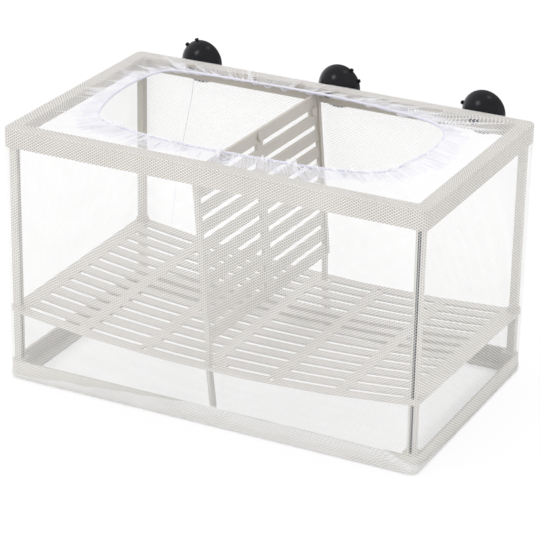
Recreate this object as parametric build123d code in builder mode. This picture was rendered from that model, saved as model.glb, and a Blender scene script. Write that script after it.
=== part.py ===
"""Hang-on fish breeding box: plastic skeleton, net bag, slatted shelf, slatted divider, suction cups.

Millimetres. The origin is the centre of the box's resting face, +X along its length to the right,
+Y to the rear (where the suction cups are), +Z up.
"""

from build123d import *
import math
import os

os.makedirs("parts", exist_ok=True)

# ---------------------------------------------------------------- driving dimensions
box_length = 300.0  # over the top frame, along X
box_depth = 180.0  # over the top frame, along Y
box_height = 180.0  # from the resting face to the top of the top frame
corner_radius = 5.0  # outer corners of both frames

net_gauge = 0.4  # thickness that stands for the mesh
net_gap = 0.15  # air between a frame's skirt and the net wall

rail_height = 13.0  # skirt of both frames
rail_width = 10.0  # flange of both frames
rail_wall = 1.8
rail_edge_radius = 1.2  # rounding of a frame's outer edge
base_inset = 0.75  # the base frame is smaller than the top frame by this on each side
socket_size = 8.6  # corner socket, measured from the inner face of the skirt
socket_rise = 1.0  # how far a socket stands past the skirt's edge

post_size = 5.4
post_inset = 3.0  # from the top frame's outer face to the post's outer face
post_edge_radius = 0.6
groove_width = 2.2
groove_depth = 3.8

shelf_corner_z = 47.0  # top of the plate at its two ends
shelf_sag = 9.0  # how much lower the plate's middle is
shelf_thickness = 1.5
shelf_length = 286.0
shelf_depth = 173.2
slit_length = 38.5
slit_width = 6.4
slit_row_pitch = 13.0
slit_row_count = 13
slit_column_starts = (7.0, 54.0, 101.0)  # inner ends of the three columns on each side of the middle
ring_clearance = 0.3  # between a post and the shelf's ring
ring_wall = 1.7
ring_corner_radius = 4.4
ring_thickness = 2.2
side_slot_x = 49.75  # the two other places where the divider can stand
side_slot_width = 3.0
middle_slot_width = 7.0  # lets the divider rock and the shelf travel
leg_slot_length = 7.6

divider_lean = 4.8  # degrees, top towards -X
divider_pivot_x = -0.5
divider_pivot_z = 38.0  # where the legs pass the shelf
divider_thickness = 2.2
divider_depth = 168.8
divider_board_low = 17.0  # board's lower edge, along the board from the pivot
divider_board_high = 133.9  # board's upper edge
divider_foot = -35.4  # ends of the legs
divider_side = 7.0  # width of a leg and of the strip beside the slots
divider_middle = 12.0  # width of the strip between the two columns of slots
board_slot_height = 6.0
board_slot_pitch = 13.0
board_slot_rows = 9
board_first_row = 25.0  # middle of the lowest row, along the board from the pivot
top_row_short = 8.0  # the top row stops short of its pads by this
pad_diameter = 7.0
pad_rise = 0.5

cup_x_positions = {"left": -107.0, "middle": 0.0, "right": 107.0}
cup_tab_angles = {"left": -15.0, "middle": 67.0, "right": -74.0}  # degrees from +Z towards +X
cup_tab_spacing = 32.0
cup_axis_z = 174.7
cup_radius = 15.5
cup_rim_y = 105.0
cup_rim_land = 1.7
cup_hollow_depth = 3.8
cup_neck_radius = 2.32
cup_hole_radius = 2.4
cup_button_radius = 3.2
cup_button_y = 85.0
cup_collar_y = 91.2
cup_collar_radius = 4.6

mouth_length = 228.0
mouth_depth = 130.0
mouth_centre = (-8.0, 10.0)  # the elastic draws the mouth a little to the left and to the rear
mouth_corner_radius = 40.0
mouth_z = 177.2  # underside of the net at the mouth
hem_radius = 0.9
seam_width = 1.6
seam_top = (-106.0, 166.0)  # x and z of the seam's ends on the rear panel
seam_foot = (-122.0, 15.0)
base_seam_low = 7.6  # the seam that joins the bag's floor to its wall
base_seam_width = 1.4

# ---------------------------------------------------------------- derived sizes
top_flange_under = box_height - rail_wall
top_skirt_low = box_height - rail_height
base_low = net_gauge
base_flange_top = base_low + rail_wall
base_skirt_top = base_low + rail_height
base_length = box_length - 2 * base_inset
base_depth = box_depth - 2 * base_inset
post_x = box_length / 2 - post_inset - post_size / 2
post_y = box_depth / 2 - post_inset - post_size / 2

corners = {
    "front_right": (1, -1, -90.0),
    "rear_right": (1, 1, 180.0),
    "rear_left": (-1, 1, 90.0),
    "front_left": (-1, -1, 0.0),
}  # side in X, side in Y, direction that the post's groove faces

lean = math.radians(divider_lean)
board_plane = Plane(
    origin=(divider_pivot_x, 0, divider_pivot_z),
    x_dir=(0, 1, 0),
    z_dir=(math.cos(lean), 0, math.sin(lean)),
)


def finish(part, name):
    """Label a sub-part and write it."""
    part.label = name
    export_step(part, f"parts/{name}.step")


# ---------------------------------------------------------------- frames
def socket_centres(length, depth):
    """Centres of the corner sockets inside a frame's skirt."""
    x = length / 2 - rail_wall - socket_size / 2
    y = depth / 2 - rail_wall - socket_size / 2
    return [(sx * x, sy * y) for sx, sy, _ in corners.values()]


post_centres = [(sx * post_x, sy * post_y) for sx, sy, _ in corners.values()]

with BuildPart() as top_frame:
    with BuildSketch(Plane.XY.offset(top_skirt_low)):
        RectangleRounded(box_length, box_depth, corner_radius)
    extrude(amount=rail_height)
    fillet(top_frame.faces().sort_by(Axis.Z)[-1].outer_wire().edges(), rail_edge_radius)
    with BuildSketch(Plane.XY.offset(top_skirt_low)):
        RectangleRounded(box_length - 2 * rail_wall, box_depth - 2 * rail_wall, corner_radius - rail_wall)
    extrude(amount=rail_height - rail_wall, mode=Mode.SUBTRACT)
    with BuildSketch(Plane.XY.offset(box_height)):
        RectangleRounded(box_length - 2 * rail_width, box_depth - 2 * rail_width, 2.0)
    extrude(amount=-rail_wall, mode=Mode.SUBTRACT)
    with BuildSketch(Plane.XY.offset(top_skirt_low - socket_rise)):
        with Locations(*socket_centres(box_length, box_depth)):
            Rectangle(socket_size, socket_size)
    extrude(amount=rail_height - rail_wall + socket_rise)
    with BuildSketch(Plane.XY.offset(top_skirt_low - socket_rise)):
        with Locations(*post_centres):
            Rectangle(post_size, post_size)
    extrude(amount=rail_height - rail_wall + socket_rise, mode=Mode.SUBTRACT)
    with BuildSketch(Plane.XZ.offset(-box_depth / 2)):
        with Locations(*[(x, cup_axis_z) for x in cup_x_positions.values()]):
            Circle(cup_hole_radius)
    extrude(amount=rail_wall, mode=Mode.SUBTRACT)
finish(top_frame.part, "top_frame")

with BuildPart() as base_frame:
    with BuildSketch(Plane.XY.offset(base_low)):
        RectangleRounded(base_length, base_depth, corner_radius)
    extrude(amount=rail_height)
    fillet(base_frame.faces().sort_by(Axis.Z)[0].outer_wire().edges(), rail_edge_radius)
    with BuildSketch(Plane.XY.offset(base_flange_top)):
        RectangleRounded(base_length - 2 * rail_wall, base_depth - 2 * rail_wall, corner_radius - rail_wall)
    extrude(amount=rail_height - rail_wall, mode=Mode.SUBTRACT)
    with BuildSketch(Plane.XY.offset(base_low)):
        RectangleRounded(base_length - 2 * rail_width, base_depth - 2 * rail_width, 2.0)
    extrude(amount=rail_wall, mode=Mode.SUBTRACT)
    with BuildSketch(Plane.XY.offset(base_flange_top)):
        with Locations(*socket_centres(base_length, base_depth)):
            Rectangle(socket_size, socket_size)
    extrude(amount=rail_height - rail_wall + socket_rise)
    with BuildSketch(Plane.XY.offset(base_flange_top)):
        with Locations(*post_centres):
            Rectangle(post_size, post_size)
    extrude(amount=rail_height - rail_wall + socket_rise, mode=Mode.SUBTRACT)
finish(base_frame.part, "base_frame")

# ---------------------------------------------------------------- posts
for corner, (side_x, side_y, groove_angle) in corners.items():
    groove_direction = (math.cos(math.radians(groove_angle)), math.sin(math.radians(groove_angle)), 0)
    post_plane = Plane(
        origin=(side_x * post_x, side_y * post_y, base_flange_top),
        x_dir=groove_direction,
        z_dir=(0, 0, 1),
    )
    with BuildPart() as post:
        with BuildSketch(post_plane):
            RectangleRounded(post_size, post_size, post_edge_radius)
            with Locations(((post_size - groove_depth) / 2, 0)):
                Rectangle(groove_depth, groove_width, mode=Mode.SUBTRACT)
        extrude(amount=top_flange_under - base_flange_top)
    finish(post.part, f"post_{corner}")

# ---------------------------------------------------------------- shelf
slit_row_start = -slit_row_pitch * (slit_row_count - 1) / 2
slit_centres = [
    (side * (start + slit_length / 2), slit_row_start + row * slit_row_pitch)
    for side in (-1, 1)
    for start in slit_column_starts
    for row in range(slit_row_count)
]
leg_y = divider_depth / 2 - divider_side / 2
ring_hole = post_size + 2 * ring_clearance
ring_size = ring_hole + 2 * ring_wall
cut_depth = 2 * shelf_corner_z

with BuildPart() as shelf:
    with BuildSketch(Plane.XZ):
        with BuildLine():
            half = shelf_length / 2
            low = shelf_corner_z - shelf_thickness
            ThreePointArc((-half, shelf_corner_z), (0, shelf_corner_z - shelf_sag), (half, shelf_corner_z))
            Line((half, shelf_corner_z), (half, low))
            ThreePointArc((half, low), (0, low - shelf_sag), (-half, low))
            Line((-half, low), (-half, shelf_corner_z))
        make_face()
    extrude(amount=shelf_depth / 2, both=True)
    with BuildSketch(Plane.XY.offset(shelf_corner_z - shelf_thickness)):
        with Locations(*post_centres):
            RectangleRounded(ring_size, ring_size, ring_corner_radius)
    extrude(amount=ring_thickness)
    with BuildSketch(Plane.XY):
        with Locations(*post_centres):
            RectangleRounded(ring_hole, ring_hole, post_edge_radius + 0.2)
        with Locations(*slit_centres):
            Rectangle(slit_length, slit_width)
        with Locations((0, leg_y), (0, -leg_y)):
            Rectangle(middle_slot_width, leg_slot_length)
        with Locations(*[(sx * side_slot_x, sy * leg_y) for sx in (-1, 1) for sy in (-1, 1)]):
            Rectangle(side_slot_width, leg_slot_length)
    extrude(amount=cut_depth, mode=Mode.SUBTRACT)
finish(shelf.part, "shelf")

# ---------------------------------------------------------------- divider
board_middle = (divider_board_low + divider_board_high) / 2
board_height = divider_board_high - divider_board_low
leg_overlap = divider_side  # the legs run on into the board's side strips
leg_length = divider_board_low + leg_overlap - divider_foot
slot_outer = divider_depth / 2 - divider_side
slot_inner = divider_middle / 2
top_row = board_first_row + (board_slot_rows - 1) * board_slot_pitch
pad_y = slot_outer - top_row_short + pad_diameter / 2 + 1.0

with BuildPart() as divider:
    with BuildSketch(board_plane):
        with Locations((0, board_middle)):
            Rectangle(divider_depth, board_height)
        with Locations((leg_y, divider_foot + leg_length / 2), (-leg_y, divider_foot + leg_length / 2)):
            Rectangle(divider_side, leg_length)
        for row in range(board_slot_rows):
            row_height = board_first_row + row * board_slot_pitch
            short = top_row_short if row == board_slot_rows - 1 else 0.0
            slot_length = slot_outer - slot_inner - short
            slot_middle = slot_inner + slot_length / 2
            with Locations((slot_middle, row_height), (-slot_middle, row_height)):
                Rectangle(slot_length, board_slot_height, mode=Mode.SUBTRACT)
    extrude(amount=divider_thickness / 2, both=True)
    with BuildSketch(board_plane):
        with Locations((-pad_y, top_row), (0, top_row), (pad_y, top_row)):
            Circle(pad_diameter / 2)
    extrude(amount=divider_thickness / 2 + pad_rise, both=True)
finish(divider.part, "divider")

# ---------------------------------------------------------------- suction cups
hollow_y = cup_rim_y - cup_hollow_depth
hollow_edge = cup_radius - cup_rim_land
hollow_radius = (hollow_edge**2 + cup_hollow_depth**2) / (2 * cup_hollow_depth)
hollow_centre_y = hollow_y + hollow_radius
dome_start_y = cup_collar_y + 1.6
dome_end_y = cup_rim_y - 1.0
dome_rise = dome_end_y - dome_start_y
dome_centre_y = dome_start_y + (cup_radius**2 - cup_collar_radius**2 + dome_rise**2) / (2 * dome_rise)
dome_radius = math.hypot(cup_radius, dome_end_y - dome_centre_y)
dome_mid_x = (cup_radius + cup_collar_radius) / 2

for place, cup_x in cup_x_positions.items():
    cup_axis = Axis((cup_x, 0, cup_axis_z), (0, 1, 0))
    with BuildPart() as cup:
        with BuildSketch(Plane.XY.offset(cup_axis_z)):
            with BuildLine():
                Polyline(
                    (cup_x, cup_button_y),
                    (cup_x + cup_button_radius - 1.2, cup_button_y),
                    (cup_x + cup_button_radius, cup_button_y + 1.2),
                    (cup_x + cup_button_radius, cup_button_y + 2.2),
                    (cup_x + cup_neck_radius, cup_button_y + 3.0),
                    (cup_x + cup_neck_radius, cup_collar_y),
                    (cup_x + cup_collar_radius, cup_collar_y),
                    (cup_x + cup_collar_radius, dome_start_y),
                )
                ThreePointArc(
                    (cup_x + cup_collar_radius, dome_start_y),
                    (cup_x + dome_mid_x, dome_centre_y - math.sqrt(dome_radius**2 - dome_mid_x**2)),
                    (cup_x + cup_radius, dome_end_y),
                )
                Line((cup_x + cup_radius, dome_end_y), (cup_x + cup_radius, cup_rim_y))
                Line((cup_x + cup_radius, cup_rim_y), (cup_x + hollow_edge, cup_rim_y))
                ThreePointArc(
                    (cup_x + hollow_edge, cup_rim_y),
                    (cup_x + hollow_edge / 2, hollow_centre_y - math.sqrt(hollow_radius**2 - hollow_edge**2 / 4)),
                    (cup_x, hollow_y),
                )
                Line((cup_x, hollow_y), (cup_x, cup_button_y))
            make_face()
        revolve(axis=cup_axis)
        for tab_angle in (cup_tab_angles[place], cup_tab_angles[place] - cup_tab_spacing):
            turn = math.radians(tab_angle)
            outward = (math.sin(turn), 0, math.cos(turn))
            tab_plane = Plane(
                origin=(cup_x, cup_rim_y - 1.6, cup_axis_z),
                x_dir=outward,
                z_dir=(0, 1, 0),
            )
            with BuildSketch(tab_plane):
                with Locations((cup_radius - 0.5, 0)):
                    RectangleRounded(4.2, 2.6, 0.8)
            extrude(amount=1.2)
    finish(cup.part, f"suction_cup_{place}")


# ---------------------------------------------------------------- net bag
def wall_loft(grow, mode=Mode.ADD):
    """Tapered block with the bag's outline: grow is the distance out from the frames' faces."""
    with BuildSketch(Plane.XY) as low_outline:
        RectangleRounded(base_length + 2 * grow, base_depth + 2 * grow, corner_radius + grow)
    with BuildSketch(Plane.XY.offset(box_height)) as high_outline:
        RectangleRounded(box_length + 2 * grow, box_depth + 2 * grow, corner_radius + grow)
    loft(sections=(low_outline.sketch, high_outline.sketch), mode=mode)


flat_length = box_length - 2 * corner_radius
corner_strip = corner_radius + 3.0
panel_boxes = {
    "net_front": ((0, -box_depth / 2), (flat_length, box_depth)),
    "net_rear": ((0, box_depth / 2), (flat_length, box_depth)),
    "net_left": ((-(flat_length + corner_strip) / 2, 0), (corner_strip, 2 * box_depth)),
    "net_right": (((flat_length + corner_strip) / 2, 0), (corner_strip, 2 * box_depth)),
}  # middle and size, in X and Y, of the block that keeps one panel of the wall

for panel_name, (panel_middle, panel_size) in panel_boxes.items():
    with BuildPart() as net_panel:
        wall_loft(net_gap + net_gauge)
        wall_loft(net_gap, mode=Mode.SUBTRACT)
        with BuildSketch(Plane.XY):
            with Locations(panel_middle):
                Rectangle(*panel_size)
        extrude(amount=box_height, mode=Mode.INTERSECT)
        if panel_name == "net_rear":
            with BuildSketch(Plane.XZ.offset(-box_depth / 2 - corner_radius)):
                with Locations(*[(x, cup_axis_z) for x in cup_x_positions.values()]):
                    Circle(cup_neck_radius + 0.7)
            extrude(amount=2 * corner_radius, mode=Mode.SUBTRACT)
    finish(net_panel.part, panel_name)

with BuildPart() as net_seam:
    wall_loft(net_gap + 2.5 * net_gauge)
    wall_loft(net_gap + net_gauge, mode=Mode.SUBTRACT)
    with BuildSketch(Plane.XZ.offset(-box_depth)):
        with BuildLine():
            Polyline(
                (seam_foot[0] - seam_width / 2, seam_foot[1]),
                (seam_foot[0] + seam_width / 2, seam_foot[1]),
                (seam_top[0] + seam_width / 2, seam_top[1]),
                (seam_top[0] - seam_width / 2, seam_top[1]),
                close=True,
            )
        make_face()
    extrude(amount=box_depth, mode=Mode.INTERSECT)
finish(net_seam.part, "net_seam")

with BuildPart() as net_base_seam:
    wall_loft(net_gap + 2.5 * net_gauge)
    wall_loft(net_gap + net_gauge, mode=Mode.SUBTRACT)
    with BuildSketch(Plane.XY.offset(base_seam_low)):
        Rectangle(2 * box_length, 2 * box_depth)
    extrude(amount=base_seam_width, mode=Mode.INTERSECT)
finish(net_base_seam.part, "net_base_seam")

with BuildPart() as net_bottom:
    with BuildSketch(Plane.XY):
        RectangleRounded(base_length, base_depth, corner_radius)
    extrude(amount=net_gauge)
finish(net_bottom.part, "net_bottom")

with BuildPart() as net_border:
    with BuildSketch(Plane.XY.offset(box_height)):
        grow = net_gap + net_gauge
        RectangleRounded(box_length + 2 * grow, box_depth + 2 * grow, corner_radius + grow)
        RectangleRounded(
            box_length - 2 * rail_width,
            box_depth - 2 * rail_width,
            2.0,
            mode=Mode.SUBTRACT,
        )
    extrude(amount=net_gauge)
finish(net_border.part, "net_border")


def mouth_funnel(rise, mode=Mode.ADD):
    """Block under the gathered net, from the mouth out to the top frame's opening, raised by rise."""
    with BuildSketch(Plane.XY.offset(mouth_z + rise)) as mouth_outline:
        with Locations(mouth_centre):
            RectangleRounded(mouth_length, mouth_depth, mouth_corner_radius)
    with BuildSketch(Plane.XY.offset(box_height + rise)) as border_outline:
        RectangleRounded(box_length - 2 * rail_width, box_depth - 2 * rail_width, 2.0)
    loft(sections=(mouth_outline.sketch, border_outline.sketch), mode=mode)


with BuildPart() as net_mouth:
    mouth_funnel(0.0)
    with BuildSketch(Plane.XY.offset(box_height)):
        RectangleRounded(box_length - 2 * rail_width, box_depth - 2 * rail_width, 2.0)
    extrude(amount=net_gauge)
    mouth_funnel(net_gauge, mode=Mode.SUBTRACT)
    with BuildSketch(Plane.XY.offset(mouth_z)):
        with Locations(mouth_centre):
            RectangleRounded(mouth_length, mouth_depth, mouth_corner_radius)
    extrude(amount=net_gauge, mode=Mode.SUBTRACT)
finish(net_mouth.part, "net_mouth")

hem_inset = hem_radius + 0.05
with BuildPart() as mouth_elastic:
    with BuildSketch(Plane.XY.offset(mouth_z + net_gauge / 2), mode=Mode.PRIVATE) as hem_outline:
        with Locations(mouth_centre):
            RectangleRounded(
                mouth_length - 2 * hem_inset,
                mouth_depth - 2 * hem_inset,
                mouth_corner_radius - hem_inset,
            )
    hem_path = hem_outline.sketch.face().outer_wire()
    with BuildSketch(Plane(origin=hem_path @ 0, z_dir=hem_path % 0)):
        Circle(hem_radius)
    sweep(path=hem_path)
finish(mouth_elastic.part, "mouth_elastic")
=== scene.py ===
"""Looks of the hang-on fish breeding box: its net bag, plastics, rubber, and the studio around it.

Metres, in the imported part's frame: +X along the box, +Y to the rear, +Z up, origin under the box.
"""

import math

import bpy
import numpy as np
from mathutils import Matrix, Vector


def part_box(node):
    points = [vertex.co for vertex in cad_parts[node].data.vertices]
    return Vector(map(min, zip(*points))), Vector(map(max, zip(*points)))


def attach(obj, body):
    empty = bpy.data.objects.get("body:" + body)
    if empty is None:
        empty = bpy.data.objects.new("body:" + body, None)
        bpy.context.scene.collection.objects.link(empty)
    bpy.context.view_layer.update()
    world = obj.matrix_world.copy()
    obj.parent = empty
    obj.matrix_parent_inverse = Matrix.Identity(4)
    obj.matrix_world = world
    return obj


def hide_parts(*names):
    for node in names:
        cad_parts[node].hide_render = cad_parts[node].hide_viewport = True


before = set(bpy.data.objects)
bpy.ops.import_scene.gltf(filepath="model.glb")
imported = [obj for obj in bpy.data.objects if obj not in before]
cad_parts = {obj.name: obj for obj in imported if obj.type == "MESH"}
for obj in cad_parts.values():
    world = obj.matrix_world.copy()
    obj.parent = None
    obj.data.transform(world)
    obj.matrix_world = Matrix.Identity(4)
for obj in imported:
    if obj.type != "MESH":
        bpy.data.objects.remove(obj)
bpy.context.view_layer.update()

MM = 0.001
rng = np.random.default_rng(7)

# ---------------------------------------------------------------- sizes, in millimetres
NET_OFF = 0.35  # from the plastic to the middle of the net
NET_CORNER = 5.35  # the bag's corner radius
WRAP = 1.5  # radius of the net where it turns over a frame's edge
FLANGE = 10.0  # width of a frame's flange
MESH_ACROSS = 1.5  # from one column of holes to the next
MESH_ALONG = 1.92  # from one hole to the next in a column
THREAD = 0.3
THREAD_STEP = 0.04  # how far a thread passes over or under its neighbour
KNOT_LENGTH = 0.5  # the short side of each hexagonal hole
COLUMNS = 638  # columns of holes round the bag, an even number
WALL_ROWS = 94
TOP_ROWS = 28
FOOT_ROWS = 16
HEM_ROWS = 12
HEM_COLUMNS = 450  # the strip that holds the elastic is gathered less than the bag
# the knitted net's inputs: sizes, in metres, and counts
NET_SIZES = {
    "Across": MESH_ACROSS * MM,
    "Along": MESH_ALONG * MM,
    "Thread": THREAD * MM,
    "Knot": KNOT_LENGTH * MM,
    "Step": THREAD_STEP * MM,
}
NET_COUNTS = ("First Column", "Columns", "Rows", "All Columns", "All Rows")
OUTLINE_STEPS = 3840  # places round a frame's outline that others are read from

top_low, top_high = (np.array(corner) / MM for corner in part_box("top_frame"))
base_low, base_high = (np.array(corner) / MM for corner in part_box("base_frame"))
TOP_HALF = (top_high[:2] - top_low[:2]) / 2
BASE_HALF = (base_high[:2] - base_low[:2]) / 2
TOP_Z = top_high[2]
TURN_Z = TOP_Z - 1.1  # the wall ends here and the top begins
FLANGE_NET_Z = TOP_Z + NET_OFF
FLOOR_NET_Z = 0.2

# the mouth's edge as seen from above, clockwise from the rear left
MOUTH_EDGE = [
    (-115.0, 67.0), (-96.0, 72.5), (-54.0, 75.0), (-6.0, 76.0), (29.5, 73.5), (73.0, 66.0), (94.0, 57.5),
    (104.0, 44.0), (108.0, 22.0), (105.5, -7.0), (95.0, -38.0), (60.0, -50.0), (26.0, -53.0),
    (-24.0, -55.0), (-65.0, -52.0), (-98.0, -43.0), (-112.0, -31.0), (-120.5, -4.0), (-123.0, 20.0),
    (-122.0, 45.0),
]
MOUTH_Z = 177.7
ELASTIC_RADIUS = 0.75
HEM_RADIUS = ELASTIC_RADIUS + 0.2
HEM_WIDTH = 14.0  # of the net that is turned in round the elastic
PLEATS = [
    (190, 0.13, 1.5, 10.0),
    (96, 0.17, 2.0, 20.0),
    (44, 0.21, 1.8, 34.0),
]  # pleats round the mouth, their unevenness, height and reach

CREASE = [(112.0, 40.0), (134.0, 15.0)]  # x and z of the ends of a crease in the front wall
CREASE_WIDTH = 0.9
CREASE_HEIGHT = 0.9

CORNER_PLEATS = [
    (0.156, 0.05, 1.1), (0.344, 0.03, 0.25), (0.656, 0.03, 0.3), (0.844, 0.04, 0.6),
]  # long pleats at the frame's corners: how far round the corner is, their spread and height
CRUMPLES = [
    (61, 1.2, 0.3), (-83, 1.7, 0.26), (109, 2.2, 0.24), (-139, 1.2, 0.2), (173, 2.6, 0.16),
]  # slanting waves of the slack net: how many go round the mouth, their slant and height
SLACK_RUN = 22.0  # the net is slack where its way to the mouth is not much longer than this
EDGE_RUN = 2.4  # net that goes over the frame's edge
EVEN_RUN = 24.0  # beyond the flange; where the net is shorter, its rows are closer together
HEM_PLEATS = [(170, 0.13, 0.8), (84, 0.17, 0.9), (47, 0.2, 0.7)]  # number, unevenness and height

# height of the folded upper edge of the doubled net at the bag's foot, side by side, clockwise
FOOT_EDGE = [
    ("rear", 0, 8.0), ("rear", 90, 5.0), ("rear", 140, 7.5),
    ("right", 80, 3.4), ("right", 30, 2.6), ("right", -40, 3.0), ("right", -78, 6.0),
    ("front", 148, 9.0), ("front", 138, 14.0), ("front", 128, 16.6), ("front", 118, 16.0),
    ("front", 100, 14.9), ("front", 69, 14.7), ("front", 33, 14.5), ("front", 12, 16.2),
    ("front", -4, 15.0), ("front", -19, 13.0), ("front", -56, 10.4), ("front", -79, 8.6),
    ("front", -110, 6.4), ("front", -137, 4.0),
    ("left", -80, 3.5), ("left", 0, 6.0), ("left", 70, 9.0),
    ("rear", -140, 10.0), ("rear", -70, 11.0),
]
FOOT_OFF = 1.0  # from the plastic to the outer layer of the doubled net
FOOT_FOLD = 0.3  # radius of its folded edge
FOOT_LENGTH = 22.0  # outer layer, part of which lies under the box
FOOT_BACK = 9.0  # inner layer
FOOT_TURN = 1.6  # radius of its turn in under the box
FOOT_FLOOR_Z = 0.08
FOOT_LEAN = 0.45  # how far its columns lean for each millimetre of height

# the shelf: a thin plate, bowed down in the middle and a little twisted
POST_PLACE = (144.3, 84.3)
POST_HOLE = 6.0
SHELF_SIZE = (297.6, 177.6)
SHELF_THICKNESS = 1.5
SHELF_FRONT_Z = (49.7, 39.4, 49.4)  # top of its front edge: left end, middle, right end
SHELF_REAR_Z = (52.5, 38.4, 43.0)
SLIT_SIZE = (39.5, 5.3)
SLIT_PITCH = (47.1, 13.0)
SLOT_CORNER = 0.8
SLIT_COLUMNS, SLIT_ROWS = 6, 13
SLIT_MIDDLE = -2.0  # x of the middle of the slits' pattern
SIDE_SLOT_X = 46.6  # from there to the other places where the divider can stand
SIDE_SLOT_WIDTH = 3.0
LEG_SLOT = (6.6, 6.2)
LEG_SLOT_X = 2.4  # the legs lean to the right on their way down
SHORT_SLIT = 8.0  # the slits beside the leg slots start this much later
COLLAR_SIZE = 9.0  # the collar round each post
COLLAR_CORNER = 4.2
SHELF_CORNER = 4.4
COLLAR_RISE = 0.6
COLLAR_DROP = 1.4

# the divider: one bent sheet, a slatted board with a leg at each end, turned a little to the right
DIVIDER_X = -0.6  # where its legs pass the shelf
# its section, x and z from the foot up
DIVIDER_LINE = [(4.19, 2.85), (0.0, 38.0), (-0.3, 57.45), (-11.26, 174.54)]
DIVIDER_TURN = math.radians(1.5)
DIVIDER_THICKNESS = 2.2
DIVIDER_FRONT, DIVIDER_REAR = -86.2, 84.6
LEG_INSET, LEG_WIDTH = 0.8, 5.0
BOARD_SLOT_HEIGHT, BOARD_SLOT_PITCH, BOARD_ROWS = 4.6, 12.07, 9
BOARD_SLOT_CORNER = 0.6
BOARD_FIRST_ROW = 10.3  # middle of the lowest row above the board's lower edge
BOARD_SIDE, BOARD_MIDDLE = 4.8, 8.0  # strips beside and between the slots
TOP_ROW_SHORT = 8.2  # the top row leaves room for the pads
PAD_RADIUS = 3.3
RIM_WIDTH = 3.4
RIM_RISE = 0.4

# the seam on the rear wall, x and z from the top down
SEAM = [(-106.0, 165.5), (-108.1, 149.9), (-113.9, 120.3), (-119.8, 84.8), (-123.4, 54.6), (-127.5, 13.0)]
SEAM_OFF = NET_OFF + 0.1  # from the plastic to the middle of its cord
SEAM_SIZES = {
    "Cord Radius": 0.18 * MM,
    "Stitch Step": 1.1 * MM,
    "Stitch Radius": 0.14 * MM,
    "Stitch Length": 1.3 * MM,
    "Slant": 0.6,
}  # in metres, and the slant in radians

# the posts' grooves, with painted shade inside: each post and the direction its groove faces
SHADED_GROOVES = {"post_front_right": (0, -1), "post_rear_left": (0, 1)}
GROOVE_HALF_WIDTH = 1.15
GROOVE_BOTTOM, GROOVE_MOUTH = -1.3, 2.3  # out from the post's middle
# painted shade: the near-black colour put inside the posts' grooves
GROOVE_SHADE = (0.02, 0.018, 0.016)


# ---------------------------------------------------------------- nodes and objects
def link(nt, source, target):
    nt.links.new(source, target)


def add_node(tree, kind, inputs=(), **settings):
    """A new node with its settings. Each of its inputs, by name or number, gets a value or the socket
    that feeds it, and a list joins several sockets."""
    node = tree.nodes.new(kind)
    for name, value in settings.items():
        setattr(node, name, value)
    for socket, value in dict(inputs).items():
        for source in value if isinstance(value, list) else [value]:
            if isinstance(source, bpy.types.NodeSocket):
                link(tree, source, node.inputs[socket])
            else:
                node.inputs[socket].default_value = source
    return node


def maths(tree, operation, *values):
    return add_node(tree, "ShaderNodeMath", enumerate(values), operation=operation).outputs[0]


def vector(tree, x, y, z):
    return add_node(tree, "ShaderNodeCombineXYZ", enumerate((x, y, z))).outputs[0]


def split_vector(tree, value):
    return add_node(tree, "ShaderNodeSeparateXYZ", {0: value}).outputs


def add_object(name, data):
    """A new object in the scene, at the origin."""
    thing = bpy.data.objects.new(name, data)
    bpy.context.collection.objects.link(thing)
    return thing


def one_material(mesh, material):
    """Gives the whole mesh one material."""
    mesh.materials.clear()
    mesh.materials.append(material)
    mesh.polygons.foreach_set("material_index", np.zeros(len(mesh.polygons), dtype=np.int32))


def map_range(nt, value, low, high, inputs=()):
    """A value from 0 to 1, or from what the inputs say, brought between low and high."""
    inputs = {"Value": value, "To Min": low, "To Max": high, **dict(inputs)}
    return add_node(nt, "ShaderNodeMapRange", inputs).outputs["Result"]


def new_material(name):
    """An empty node material with its output node."""
    material = bpy.data.materials.new(name)
    material.use_nodes = True
    nt = material.node_tree
    nt.nodes.clear()
    output = nt.nodes.new("ShaderNodeOutputMaterial")
    return material, nt, output


# ---------------------------------------------------------------- camera and studio
SURROUND_LIGHT = (1.13, 1.01)  # from the left and from the right
LAMPS = [
    ("key lamp", (-1.2, -1.6, 2.2), 1.0, 12.0),
    ("overhead lamp", (0.5, 0.2, 2.4), 0.6, 2.0),
]  # name, place and width in metres, watts
LAMP_TARGET = (0.0, 0.0, 0.09)
FLOOR_HALF = 12.0  # metres
FLOOR_Z = -0.0002
FLOOR_GLOW = 0.86  # how far the camera sees plain white instead of the lit floor


def make_camera():
    """The photograph's viewpoint, found from the box's edges."""
    place = np.array([675.08, -1364.02, 738.68]) * MM
    turn, tilt, roll = 0.4590, 0.4104, 0.0182
    focal_px, frame_px, sensor_mm = 2480.0, 540.0, 36.0
    ahead = np.array(
        [-math.sin(turn) * math.cos(tilt), math.cos(turn) * math.cos(tilt), -math.sin(tilt)]
    )
    right = np.cross(ahead, (0, 0, 1))
    right /= np.linalg.norm(right)
    up = np.cross(right, ahead)
    across = math.cos(roll) * right + math.sin(roll) * up
    upward = -math.sin(roll) * right + math.cos(roll) * up
    data = bpy.data.cameras.new("camera")
    data.sensor_width = sensor_mm
    data.lens = focal_px * sensor_mm / frame_px
    data.clip_end = 20.0
    camera = add_object("camera", data)
    matrix = np.eye(4)
    matrix[:3, 0], matrix[:3, 1], matrix[:3, 2], matrix[:3, 3] = across, upward, -ahead, place
    camera.matrix_world = Matrix(matrix.tolist())
    bpy.context.scene.camera = camera


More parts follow.
